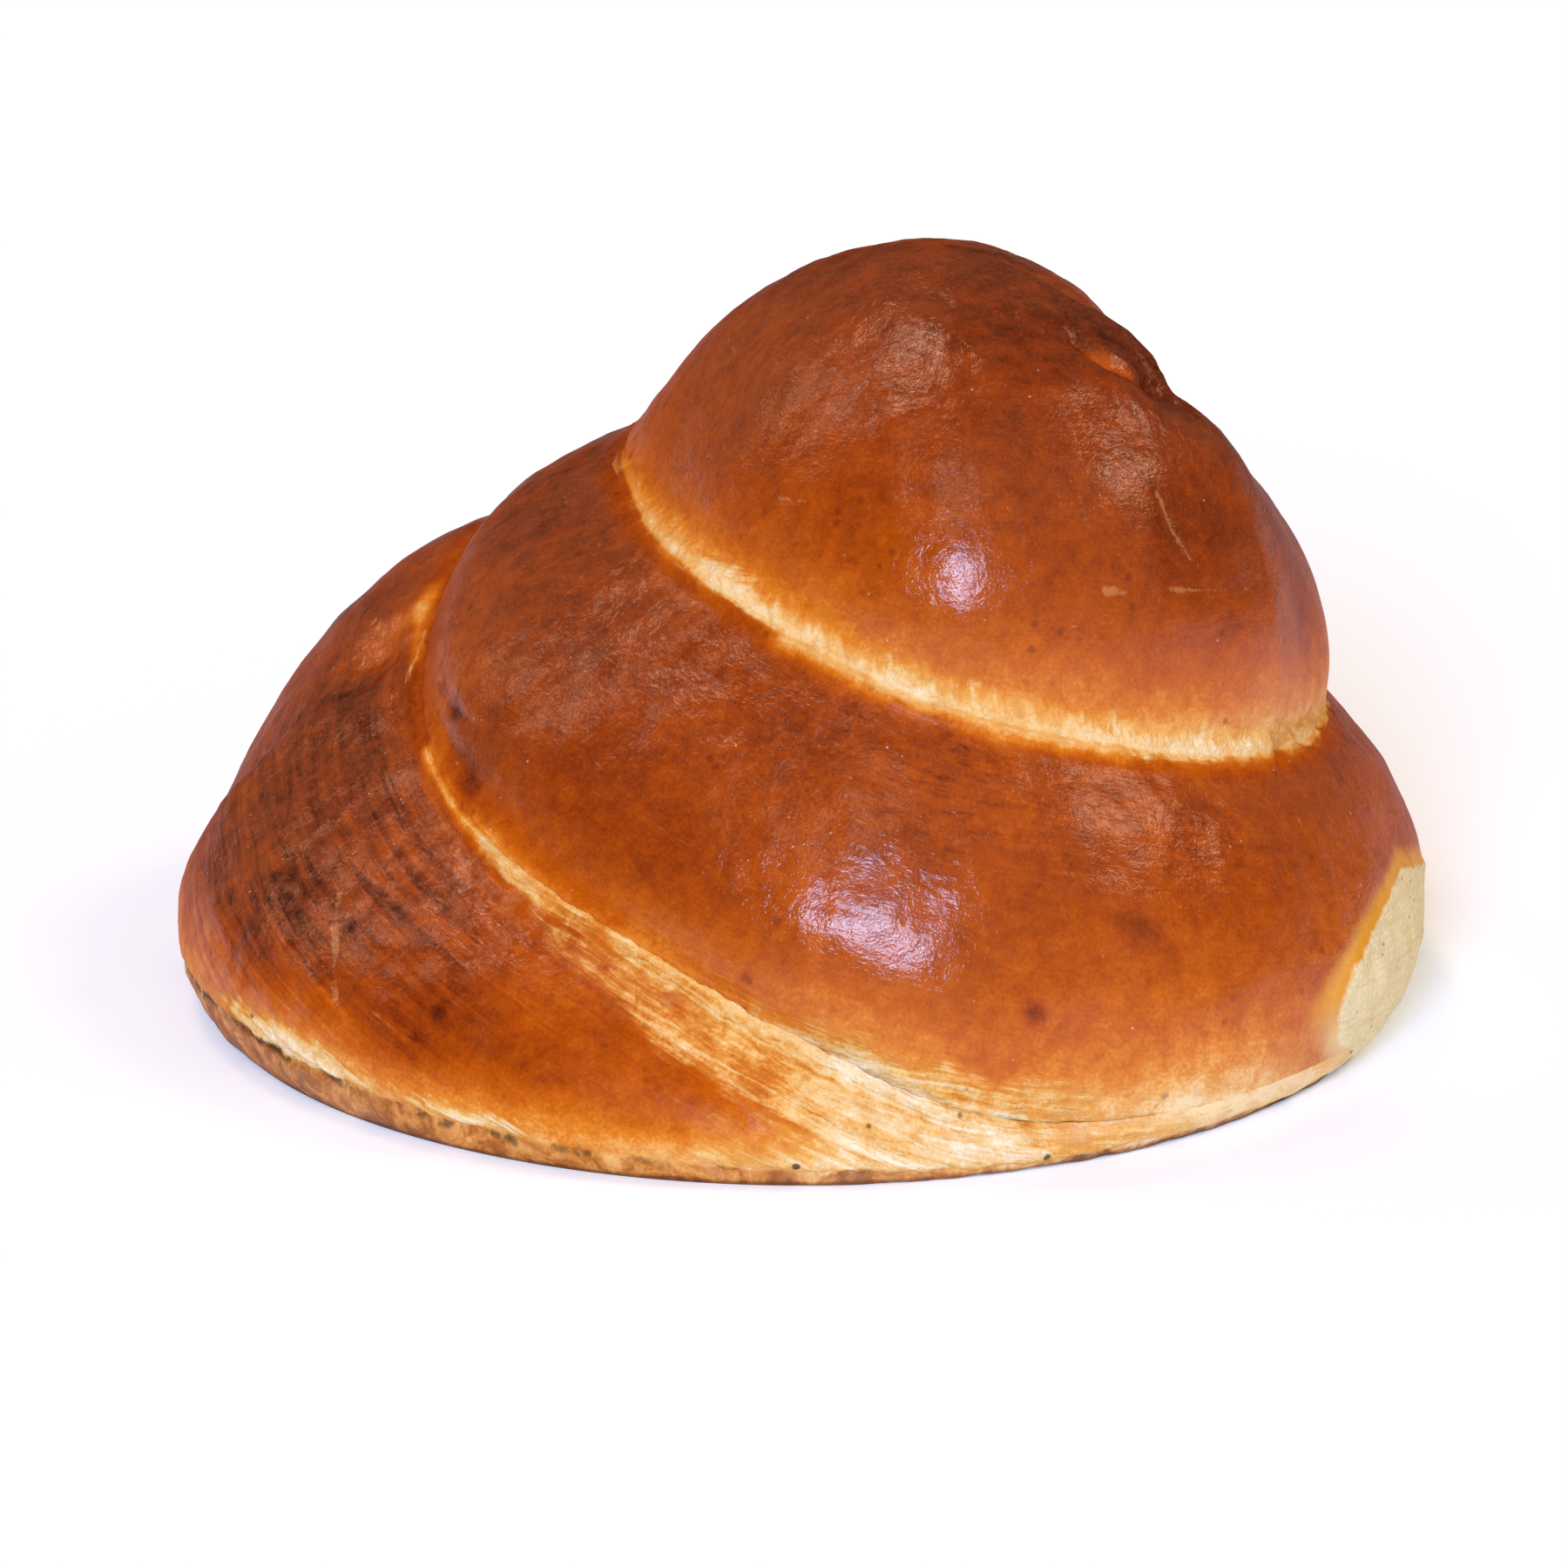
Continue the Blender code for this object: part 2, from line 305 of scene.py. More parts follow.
def skin_stretches(turn):
    """Crown, middle and bottom stretches of all profiles, each as an array of columns by rows."""
    peak = axis_point(np.full_like(turn, HEIGHT))
    upper, lower = crease_point(turn), crease_point(turn + 360)
    foot = read_stations(FOOT_RADIUS_MM, turn)[:, None] / 1000 * outwards(turn)
    crown_end, middle_start = read_stations(CROWN_ARRIVES, turn), read_stations(MIDDLE_LEAVES, turn)
    middle_end, bottom_start = read_stations(MIDDLE_ARRIVES, turn), read_stations(BOTTOM_LEAVES, turn)
    bottom_end = read_stations(BOTTOM_ARRIVES, turn)
    crown_shares, middle_shares = row_shares(CROWN_ROWS), row_shares(MIDDLE_ROWS)
    bottom_shares = row_shares(BOTTOM_ROWS)

    crown = read_curve(stretch(turn, peak, 0, upper, crown_end), crown_shares)
    middle = read_curve(stretch(turn, upper, middle_start, lower, middle_end), middle_shares)
    bottom = read_curve(stretch(turn, lower, bottom_start, foot, bottom_end), bottom_shares)
    over_start = stretch(turn, peak, 0, lower, middle_end)
    crown, middle = ease_into_one(over_start, upper, crown, middle, smooth_step(turn / CREASE_FADE),
                                  crown_shares, middle_shares)
    over_end = stretch(turn, upper, middle_start, foot, bottom_end)
    middle, bottom = ease_into_one(over_end, lower, middle, bottom, smooth_step((360 - turn) / END_FADE),
                                   middle_shares, bottom_shares)

    behind = FOLD_TURN + FOLD_HOOK * (1 - bottom_shares)**8 - turn[:, None]
    inwards = smooth_step(behind / FOLD_WIDTH) * smooth_step((FOLD_REACH - behind) / FOLD_REACH)
    steps = FOLD_DEPTH * inwards * np.sin(np.pi * bottom_shares**1.5)
    bottom = bottom - steps[..., None] * outwards(turn, FOLD_TILT)[:, None, :]
    return crown, middle, bottom


# ---------------------------------------------------------------- the fine skin

def column_turns():
    """Turns of the columns, closer together at the front, where the crust has most to show."""
    fine = np.linspace(0.0, 360.0, 3601)
    back = rise_between(fine, 42, 62) * rise_between(fine, 196, 176)
    crowding = np.cumsum(1 - (1 - BACK_DENSITY) * back)
    crowding = (crowding - crowding[0]) / (crowding[-1] - crowding[0])
    return np.interp(np.arange(COLUMNS) / COLUMNS, crowding, fine)


class Skin:
    """Every vertex of the skin below the peak, as arrays of columns by rows."""

    def __init__(self):
        turn = column_turns()
        stretches = skin_stretches(turn)
        self.points = np.concatenate([part[:, 1:] for part in stretches], axis=1)
        lengths = [self.lengths_along(part) for part in stretches]
        self.part = np.repeat((0, 1, 2), (CROWN_ROWS, MIDDLE_ROWS, BOTTOM_ROWS))[None, :] + 0 * turn[:, None].astype(int)
        self.turn = turn[:, None] + 0 * self.part
        self.up_mm = np.concatenate([length[:, 1:] for length in lengths], axis=1)
        self.low_mm = np.concatenate([length[:, -1:] - length[:, 1:] for length in lengths], axis=1)
        self.fit_to_frame()
        self.measure_creases()
        self.measure_strands(lengths[0])
        self.wander = rough(self.points, 5, 3, 21)

    @staticmethod
    def lengths_along(part):
        """Millimetres along each profile from a stretch's upper end."""
        steps = np.linalg.norm(np.diff(part, axis=1), axis=-1)
        return 1000 * np.concatenate((np.zeros((len(part), 1)), np.cumsum(steps, axis=1)), axis=1)

    def fit_to_frame(self):
        """Move the skin so that its bounding box shares its middle with the solid's."""
        low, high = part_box("loaf")
        flat = self.points.reshape(-1, 3)
        middle = (flat.min(axis=0) + flat.max(axis=0)) / 2
        self.shift = np.array(((low[0] + high[0]) / 2 - middle[0], (low[1] + high[1]) / 2 - middle[1], low[2]))
        self.points = self.points + self.shift

    def measure_creases(self):
        """How deep the creases above and below are here, and distances to the nearest one."""
        start = smooth_step(self.turn / CREASE_FADE)
        end = smooth_step((360 - self.turn) / END_FADE)
        self.above = np.where(self.part == 0, start, np.where(self.part == 1, end, 0.0))
        self.below = np.where(self.part == 0, 0.0, np.where(self.part == 1, start, end))
        shown_end = smooth_step((360 - self.turn) / CREASE_FADE)
        self.edge_above = np.where(self.part == 1, shown_end, self.above)
        self.edge_below = np.where(self.part == 2, shown_end, self.below)
        to_lower = FAR_MM + self.above * (np.minimum(self.low_mm, FAR_MM) - FAR_MM)
        to_upper = FAR_MM + self.below * (np.minimum(self.up_mm, FAR_MM) - FAR_MM)
        self.near_mm = np.minimum(to_lower, to_upper)
        self.lower_crease = self.turn + 360 * (self.part > 0)
        self.upper_crease = self.turn + 360 * (self.part > 1)

    def measure_strands(self, crown):
        """Coordinates along the rope, as a circle, and across it, in metres below its upper crease."""
        before = crown[0, -1] * self.turn / 360
        across = np.where(self.part == 0, self.up_mm - before, self.up_mm)
        way = np.radians(CREASE_START + self.turn)
        self.strand = np.stack((np.cos(way), np.sin(way), across / 1000), -1)

    def find(self, part, turn, up_mm):
        """The skin's point on a stretch at a turn, this far below its upper end."""
        column = np.argmin(np.abs(self.turn[:, 0] - turn % 360))
        away = np.abs(self.up_mm[column] - up_mm) + 1000 * (self.part[column] != part)
        return self.points[column, np.argmin(away)]

    def away_from(self, path):
        """Millimetres from a path of (stretch, turn, millimetres below its upper end)."""
        corners = [self.find(*place) for place in path]
        if len(corners) == 1:
            return 1000 * np.linalg.norm(self.points - corners[0], axis=-1)
        away = np.full(self.turn.shape, np.inf)
        for start, end in zip(corners, corners[1:]):
            way = end - start
            share = np.clip((self.points - start) @ way / (way @ way), 0, 1)
            away = np.minimum(away, 1000 * np.linalg.norm(self.points - start - share[..., None] * way, axis=-1))
        return away


def rough(points, size_mm, octaves=3, seed=0):
    """Smooth random field about -1 to 1 whose largest lumps are this size."""
    shift = Vector((17.3 * seed, -9.1 * seed, 4.7 * seed))
    flat = (points.reshape(-1, 3) * (1000 / size_mm)).tolist()
    field = [noise.fractal(Vector(point) + shift, 1.0, 2.0, octaves) for point in flat]
    return np.array(field).reshape(points.shape[:-1])


# ---------------------------------------------------------------- what the oven did

def add_marks(skin):
    """Sum up the marks of each kind, and the distance to the nearest crack."""
    skin.marks = {kind: np.zeros(skin.turn.shape) for kind in ("gold", "dark", "pale", "dent")}
    for kind, half_width, amount, path in MARKS:
        away = skin.away_from(path) + 0.35 * half_width * skin.wander
        skin.marks[kind] += amount * bell(away, 0, half_width)
    skin.crack_mm = np.full(skin.turn.shape, FAR_MM)
    for path in CRACKS:
        skin.crack_mm = np.minimum(skin.crack_mm, skin.away_from(path) + 0.7 * skin.wander)


def add_sole(skin):
    """Millimetres above the line where the pale side meets the browned edge of the base."""
    line = read_stations(SOLE_MM, skin.turn)
    skin.sole_mm = np.where(skin.part == 2, np.minimum(skin.low_mm - line, FAR_MM), FAR_MM)
    skin.scorch = np.interp(skin.turn, SCORCH_TURNS, SCORCHED)


def add_bake(skin, normals):
    """How brown each place is, from 0 for crumb to 1 for mahogany."""
    turn, bottom = skin.turn, skin.part == 2
    brown = 0.50 + 0.31 * normals[..., 2]
    rim = read_stations(RIM_PALE, skin.lower_crease)
    rim_width = read_stations(RIM_WIDTH_MM, skin.lower_crease)
    brown -= skin.edge_above * rim * np.exp(-(skin.low_mm / rim_width)**1.4)
    under = read_stations(UNDER_PALE, skin.upper_crease)
    under_width = read_stations(UNDER_WIDTH_MM, skin.upper_crease)
    brown -= skin.edge_below * under * np.exp(-(skin.up_mm / under_width)**1.6)
    brown -= 0.26 * bottom * bell(skin.sole_mm, 1.0, 7.0)
    brown += 0.07 * bottom * bell(turn, 226, 30) * rise_between(skin.low_mm, 14, 30)
    around = (turn + 180) % 360 - 180
    right_lobe = (skin.part == 0) | ((skin.part == 1) & (turn < 90))
    brown += 0.11 * right_lobe * bell(around, 4, 34) * rise_between(skin.low_mm, 8, 26)
    brown += 0.05 * (skin.part == 1) * rise_between(skin.low_mm, 30, 8) * rise_between(turn, 230, 270)
    brown -= 0.12 * bell(skin.near_mm, 0, 1.6) * rise_between(turn, 225, 255)
    brown -= 0.08 * (skin.part > 0) * ~right_lobe * bell(around, -5, 32)
    brown += 0.07 * rough(skin.points, 26, 2, 7)
    # The gold and dark marks bring in a painted glint along the crown's notch and painted shade along a groove
    skin.bake = np.clip(brown - skin.marks["gold"] + skin.marks["dark"], 0.0, 1.15)


def add_tears(skin):
    """Where the crust tore open or stretched pale, 0 to about 1, and where the tear is frayed across."""
    turn, bottom = skin.turn, skin.part == 2
    patchy = 1.0 + 0.5 * rough(skin.points, 14, 2, 10)
    ragged = skin.low_mm + 1.5 * skin.wander
    above_line = skin.above * read_stations(TORN_LINE, skin.lower_crease)
    above_line *= np.exp(-(np.maximum(ragged, 0) / read_stations(TORN_WIDTH_MM, skin.lower_crease))**2)
    below_line = skin.below * read_stations(TORN_LINE, skin.upper_crease) * bell(skin.up_mm + 0.9 * skin.wander, 0.2, 1.4)
    below_line *= 0.8 + 0.3 * bell(turn, 274, 14)
    band_width = np.interp(turn, BAND_TURNS, BAND_WIDTH_MM)
    band = bottom * np.interp(turn, BAND_TURNS, BAND_TORN)
    band *= rise_between(skin.up_mm + 1.5 * skin.wander, band_width + 3.0, band_width - 2.0)
    front = bottom * np.interp(turn, (286, 297, 306, 320, 332, 345), (0, 0.4, 1.05, 1.0, 0.35, 0))
    front *= rise_between(skin.sole_mm + skin.wander, -1.0, 1.2)
    over_front = skin.edge_above * np.interp(skin.lower_crease, (632, 648, 660, 669, 684, 696), (0, 0.2, 0.65, 1.05, 0.75, 0))
    over_front *= rise_between(skin.low_mm + 2.6 * skin.wander, 10.5, 2.5)
    rim = bottom * np.interp(turn, RIM_TURNS, RIM_TORN) * bell(skin.sole_mm + 0.9 * skin.wander, 1.6, np.interp(turn, (245, 260), (3.0, 1.6)))
    skin.torn = np.clip(patchy * (above_line + below_line + band + front + over_front + rim) + skin.marks["pale"], 0, 1.3)
    skin.frayed = (skin.part == 0) * rise_between(turn, 262, 285) * bell(skin.low_mm, 0, 9)


def add_kiss(skin):
    """The pale patch at the right, where the loaf touched its neighbour in the oven: above 0 inside it."""
    around = (skin.turn + 180) % 360 - 180
    height = skin.points[..., 2] * 1000
    patch = 1 - ((around - 25) / 29.5)**2 - ((height - 13) / 15)**2
    top = (28 - 0.47 * np.maximum(around - 12, 0) - height) / 10
    skin.kiss = np.clip(np.minimum(patch, top), -2.0, 1.0)


def add_streaks(skin):
    """How strongly the dough's pull shows as streaks along the rope."""
    upper = (skin.part == 1) * bell(skin.up_mm, 14, 11) * (0.25 + 0.75 * rise_between(skin.turn, 275, 305))
    left = (skin.part == 2) * bell(skin.turn, 240, 34) * rise_between(skin.low_mm, 9, 20)
    skin.streaks = np.clip(0.08 + 0.7 * upper + 0.45 * left, 0, 1)
    skin.folds = left
    skin.streaks *= rise_between(skin.turn, 0, 25) * rise_between(skin.turn, 360, 335)


def add_wash(skin):
    """How much egg wash reached each place: less low on the bottom turn."""
    low = (skin.part == 2) * bell(skin.turn, 282, 30) * rise_between(skin.low_mm, 32, 22)
    skin.wash = (1.0 - low) * rise_between(skin.near_mm, 2.5, 6.0)


def add_relief(skin, normals):
    """Move the skin in and out, in millimetres along its normals."""
    lifted = rise_between(skin.points[..., 2] * 1000, 0.0, 5.0)
    upwards = rise_between(normals[..., 2], 0.1, 0.8)
    height = 0.8 * rough(skin.points, 42, 2, 1) + (0.22 + 0.25 * upwards) * rough(skin.points, 11, 2, 2)
    height *= rise_between(skin.near_mm, 0.0, 8.0)
    long_way = skin.strand * (0.042, 0.042, 1.0)
    height += 0.32 * rough(long_way, 4.5, 3, 3) * skin.streaks
    height += 0.50 * rough(skin.strand * (0.04, 0.04, 1.0), 4.2, 2, 15) * skin.folds
    height += 0.12 * rough(skin.points, 3.6, 3, 4) * (0.3 + upwards)
    height += 0.28 * rough(skin.points, 2.6, 3, 5) * bell(skin.near_mm, 0.5, 3.0)
    pulled = 0.6 * rough(skin.strand * (0.08, 0.08, 1.0), 2.6, 3, 6) + 0.45 * rough(skin.points, 3.4, 3, 12)
    height += 0.9 * pulled * np.clip(skin.torn, 0, 1)
    height += 3.0 * bell(skin.near_mm, 0.0, 5.5) * rise_between(skin.turn, 250, 285) * (skin.upper_crease >= 360)
    height += 0.5 * bell(skin.kiss, 0.04, 0.10)
    height += 0.45 * rough(skin.points, 6.0, 4, 17) * rise_between(skin.kiss, 0.0, 0.2)
    height *= lifted
    height += -0.6 * bell(skin.sole_mm + 0.5 * skin.wander, -0.5, 1.1) - 0.25 * bell(skin.crack_mm, 0.0, 0.9)
    height += 0.35 * rough(skin.points, 6.0, 3, 14) * rise_between(skin.sole_mm, 3.0, 0.0) * rise_between(skin.low_mm, 0.0, 2.0)
    height -= skin.marks["dent"]
    skin.points = skin.points + height[..., None] / 1000 * normals
    fill = CREASE_FILL_MM * bell(skin.near_mm, 0.0, 2.8) * rise_between(skin.turn, 205, 250) * lifted
    skin.points = skin.points + fill[..., None] / 1000 * outwards(skin.turn, 20)
    hang = 0.5 * rough(skin.points, 4.0, 2, 8) * skin.above * bell(skin.low_mm, 0.0, 2.0)
    skin.points[..., 2] += hang * lifted / 1000
    skin.points[..., 2] = np.maximum(skin.points[..., 2], 0.0)


# ---------------------------------------------------------------- mesh

def zip_faces(left, right, points):
    """Triangles between two lines of vertices of different counts, across the shorter diagonal."""
    faces, i, j = [], 0, 0
    while i < len(left) - 1 or j < len(right) - 1:
        can_left, can_right = i < len(left) - 1, j < len(right) - 1
        go_left = can_left
        if can_left and can_right:
            down_left = np.linalg.norm(points[left[i + 1]] - points[right[j]])
            go_left = down_left <= np.linalg.norm(points[left[i]] - points[right[j + 1]])
        corner = left[i + 1] if go_left else right[j + 1]
        if left[i] != right[j]:
            faces.append((left[i], corner, right[j]))
        i, j = (i + 1, j) if go_left else (i, j + 1)
    return faces


def base_points(foot):
    """Rings from the foot inwards, and the middle of the base."""
    middle = foot.mean(axis=0)
    shares = np.arange(1, BASE_RINGS) / BASE_RINGS
    rings = [foot + (middle - foot) * share for share in shares]
    return np.concatenate(rings + [middle[None, :]])


def skin_faces(points):
    """Faces of the whole closed skin. Vertex 0 is the peak, then the columns, then the base."""
    rows = CROWN_ROWS + MIDDLE_ROWS + BOTTOM_ROWS
    columns = 1 + np.arange(COLUMNS)[:, None] * rows + np.arange(rows)[None, :]
    left, right = columns[:-1], columns[1:]
    fans = np.stack((np.zeros(COLUMNS - 1, int), left[:, 0], right[:, 0]), -1)
    quads = np.stack((left[:, :-1], left[:, 1:], right[:, 1:], right[:, :-1]), -1).reshape(-1, 4)
    last, first = [0, *columns[-1]], [0, *columns[0]]
    seam = zip_faces(last[:CROWN_ROWS + 1], first[:CROWN_ROWS + MIDDLE_ROWS + 1], points)
    seam += zip_faces(last[CROWN_ROWS:], first[CROWN_ROWS + MIDDLE_ROWS:], points)
    start = 1 + COLUMNS * rows
    rings = [columns[:, -1]] + [start + ring * COLUMNS + np.arange(COLUMNS) for ring in range(BASE_RINGS - 1)]
    centre = start + (BASE_RINGS - 1) * COLUMNS
    base = [np.stack((outer, inner, np.roll(inner, -1), np.roll(outer, -1)), -1)
            for outer, inner in zip(rings, rings[1:])]
    fan = np.stack((rings[-1], np.full(COLUMNS, centre), np.roll(rings[-1], -1)), -1)
    return fans.tolist() + quads.tolist() + seam + np.concatenate(base).tolist() + fan.tolist()


def all_points(skin):
    """Vertices in the order that the faces count them."""
    peak = axis_point(HEIGHT) + skin.shift
    return np.concatenate((peak[None, :], skin.points.reshape(-1, 3), base_points(skin.points[:, -1])))


def write_field(mesh, name, field, peak_value, base_value):
    """Store one number a vertex."""
    base = np.full((BASE_RINGS - 1) * COLUMNS + 1, base_value)
    values = np.concatenate(([peak_value], field.reshape(-1), base)).astype(np.float32)
    mesh.attributes.new(name, "FLOAT", "POINT").data.foreach_set("value", values)


def write_strand(mesh, skin):
    """Store the coordinates along and across the rope."""
    base = skin.strand[:, -1][None].repeat(BASE_RINGS - 1, axis=0).reshape(-1, 3)
    values = np.concatenate((skin.strand[0, :1], skin.strand.reshape(-1, 3), base, skin.strand[0, -1:]))
    values = values.astype(np.float32).ravel()
    mesh.attributes.new("strand", "FLOAT_VECTOR", "POINT").data.foreach_set("vector", values)


def write_fields(mesh, skin, normals):
    """Store everything that the crust material reads."""
    write_field(mesh, "bake", skin.bake, 0.82, 0.60)
    write_field(mesh, "torn", skin.torn, 0.0, 0.0)
    write_field(mesh, "frayed", skin.frayed, 0.0, 0.0)
    write_field(mesh, "kiss", skin.kiss, -2.0, -2.0)
    write_field(mesh, "sole", skin.sole_mm, FAR_MM, -4.0)
    write_field(mesh, "crack", skin.crack_mm, FAR_MM, FAR_MM)
    write_field(mesh, "crinkle", rise_between(normals[..., 2], 0.0, 0.8), 1.0, 0.0)
    write_field(mesh, "streaks", skin.streaks, 0.0, 0.0)
    write_field(mesh, "folds", skin.folds, 0.0, 0.0)
    write_field(mesh, "near", skin.near_mm, FAR_MM, FAR_MM)
    write_field(mesh, "scorch", skin.scorch, 0.0, 0.0)
    write_field(mesh, "wash", skin.wash, 1.0, 0.0)
    write_strand(mesh, skin)


def make_loaf():
    """The finished skin, riding on the loaf's body in place of the plain solid."""
    skin = Skin()
    mesh = bpy.data.meshes.new("crust")
    points = all_points(skin)
    mesh.from_pydata(points.tolist(), [], skin_faces(points))
    normals = np.zeros(len(points) * 3, np.float32)
    mesh.vertex_normals.foreach_get("vector", normals)
    own = slice(1, 1 + skin.points.shape[0] * skin.points.shape[1])
    normals = normals.reshape(-1, 3)[own].reshape(skin.points.shape)

    add_marks(skin)
    add_sole(skin)
    add_bake(skin, normals)
    add_tears(skin)
    add_kiss(skin)
    add_streaks(skin)
    add_wash(skin)
    add_relief(skin, normals)
    mesh.vertices.foreach_set("co", all_points(skin).astype(np.float32).ravel())
    write_fields(mesh, skin, normals)
    mesh.shade_smooth()
    mesh.validate()
    mesh.update()
    loaf = bpy.data.objects.new("loaf_crust", mesh)
    bpy.context.collection.objects.link(loaf)
    mesh.materials.append(Crust().material)
    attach(loaf, "root")
    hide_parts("loaf")


# ---------------------------------------------------------------- material

class Graph:
    """Short ways of adding nodes to one material."""

    def __init__(self, material):
        material.use_nodes = True
        self.tree = material.node_tree
        self.shader = self.tree.nodes["Principled BSDF"]

    def put(self, kind, inputs=(), output=0, **settings):
        """Add a node, set it up, feed its inputs by name or number, and return one output."""
        made = self.tree.nodes.new(kind)
        for name, value in settings.items():
            setattr(made, name, value)
        for key, value in dict(inputs).items():
            self.feed(made.inputs[key], value)
        return made.outputs[output]

    def feed(self, socket, value):
        """Link a socket to another node's output, or set its value."""
        if isinstance(value, bpy.types.NodeSocket):
            self.tree.links.new(value, socket)
        else:
            socket.default_value = value

    def read(self, name):
        """One number from the vertices."""
        return self.put("ShaderNodeAttribute", output="Fac", attribute_name=name)

    def maths(self, operation, first, second=0.0, third=0.0):
        """One sum on numbers."""
        return self.put("ShaderNodeMath", {0: first, 1: second, 2: third}, operation=operation)

    def add(self, *values):
        """Sum of numbers."""
        total = values[0]
        for value in values[1:]:
            total = self.maths("ADD", total, value)
        return total

    def times(self, *values):
        """Product of numbers."""
        total = values[0]
        for value in values[1:]:
            total = self.maths("MULTIPLY", total, value)
        return total

    def step(self, value, start, end):
        """0 at start, 1 at end, smooth between."""
        return self.put("ShaderNodeMapRange", {"Value": value, "From Min": start, "From Max": end},
                        interpolation_type="SMOOTHSTEP")

    def stretched(self, vector, scale):
        """A vector scaled differently along each axis."""
        return self.put("ShaderNodeVectorMath", {0: vector, 1: scale}, operation="MULTIPLY")

    def noise(self, vector, size, detail=2.0, roughness=0.5, distortion=0.0):
        """Random field about -0.5 to 0.5 with lumps of this size in the vector's units."""
        made = self.put("ShaderNodeTexNoise", {"Vector": vector, "Scale": 1.0 / size, "Detail": detail,
                                               "Roughness": roughness, "Distortion": distortion})
        return self.maths("SUBTRACT", made, 0.5)

    def dots(self, vector, size):
        """Distance to the nearest of scattered points, in cells."""
        return self.put("ShaderNodeTexVoronoi", {"Vector": vector, "Scale": 1.0 / size}, output="Distance")

    def ramp(self, value, stops):
        """Colour read from a list of (place, colour)."""
        made = self.tree.nodes.new("ShaderNodeValToRGB")
        elements = made.color_ramp.elements
        while len(elements) < len(stops):
            elements.new(0.5)
        for element, (place, colour) in zip(elements, stops):
            element.position = place
            element.color = (*colour, 1.0)
        self.feed(made.inputs["Fac"], value)
        return made.outputs["Color"]

    def mix(self, share, first, second, blend="MIX"):
        """Mix of two colours."""
        made = self.tree.nodes.new("ShaderNodeMix")
        made.data_type = "RGBA"
        made.blend_type = blend
        for key, value in ((0, share), (6, first), (7, second)):
            self.feed(made.inputs[key], value if not isinstance(value, tuple) else (*value, 1.0))
        return made.outputs[2]


class Crust:
    """The crust material, built up layer by layer."""

    def __init__(self):
        self.material = bpy.data.materials.new("baked crust")
        self.graph = graph = Graph(self.material)
        self.place = graph.stretched(graph.put("ShaderNodeTexCoord", output="Object"), (1000, 1000, 1000))
        strand = graph.put("ShaderNodeAttribute", output="Vector", attribute_name="strand")
        self.along = graph.stretched(strand, ALONG_ROPE)
        self.across = graph.stretched(strand, ACROSS_ROPE)
        self.drawn_out = graph.stretched(strand, DRAWN_OUT)
        self.grain = graph.noise(self.place, 0.6, 3, 0.65)
        self.mottle = graph.noise(self.place, 3.2, 5, 0.68, 0.3)
        self.open_run = graph.step(graph.read("near"), 0.6, 1.5)
        self.strands = graph.add(graph.times(self.pull(self.along, 1.4, 4, 0.62, 1.6), 0.60),
                                 graph.times(self.pull(self.drawn_out, 2.6, 3, 0.6, 2.0), 0.9))
        self.torn = graph.read("torn")
        self.sole = graph.read("sole")

        colour = self.browned()
        colour = self.torn_open(colour)
        colour = self.base_edge(colour)
        colour = self.touched(colour)
        colour = self.cracked(colour)
        self.matt = graph.maths("MAXIMUM", self.open_share, self.kissed)
        facing = graph.put("ShaderNodeLayerWeight", {"Blend": 0.5}, output="Facing")
        washed = graph.times(graph.read("wash"), graph.step(facing, 0.82, 0.42), graph.step(self.brown, 1.08, 0.78))
        self.glazed = graph.maths("SUBTRACT", 1.0, self.matt)
        self.coated = graph.times(self.glazed, washed)
        colour = self.speckled(colour)
        self.finish(colour)

    def pull(self, vector, *settings):
        """Noise in coordinates along the rope, faded out on the crease, where they start afresh."""
        return self.graph.times(self.graph.noise(vector, *settings), self.open_run)

    def browned(self):
        """The baked skin: blotches, fine mottling, and dark streaks along the rope where the dough was pulled."""
        graph = self.graph
        blotches = graph.noise(self.place, 13, 3, 0.55)
        pulled = self.pull(self.along, 1.3, 5, 0.65, 1.5)
        drawn = self.pull(self.drawn_out, 1.2, 4, 0.6, 0.8)
        streaked = graph.read("streaks")
        clusters = graph.step(graph.noise(self.place, 9, 3, 0.6), -0.06, 0.16)
        spots = graph.times(graph.step(pulled, 0.02, 0.20), clusters, streaked, 0.26)
        folds = self.pull(self.drawn_out, 3.6, 3, 0.5, 1.6)
        lines = graph.add(graph.times(drawn, streaked, 0.35), graph.times(folds, graph.read("folds"), 0.75))
        mottle = graph.times(self.mottle, graph.add(0.36, graph.times(streaked, 0.22)))
        self.brown = graph.add(graph.read("bake"), graph.times(blotches, 0.26), mottle,
                          graph.times(self.grain, 0.30), graph.times(pulled, 0.12), spots, lines)
        return graph.ramp(self.brown, CRUST_STOPS)

    def torn_open(self, colour):
        """Torn and stretched dough: cream and gold strands, frayed across under the crown."""
        graph = self.graph
        fibres = self.pull(self.across, 1.2, 4, 0.6, 0.4)
        frayed = graph.read("frayed")
        smooth = graph.maths("SUBTRACT", 1.0, frayed)
        self.weave = graph.add(graph.times(self.strands, smooth), graph.times(fibres, frayed, 0.9))
        chunks = graph.noise(self.place, 4.5, 4, 0.62, 0.5)
        ragged = graph.add(self.torn, graph.times(self.weave, 0.9), graph.times(chunks, 0.7),
                           graph.times(self.grain, 0.35))
        self.open_share = graph.step(ragged, 0.18, 0.80)
        tone = graph.add(graph.times(self.torn, 0.52), 0.12, graph.times(self.weave, 1.2),
                         graph.times(self.grain, 0.45), graph.times(chunks, 0.9), graph.times(frayed, 0.08))
        colour = graph.mix(self.open_share, colour, graph.ramp(tone, CRUMB_STOPS))
        crumbs = graph.step(graph.dots(self.place, 6.5), 0.13, 0.07)
        dark = graph.times(crumbs, graph.step(self.torn, 0.55, 0.9), smooth)
        return graph.mix(graph.times(dark, 0.85), colour, SCORCH_COLOUR)

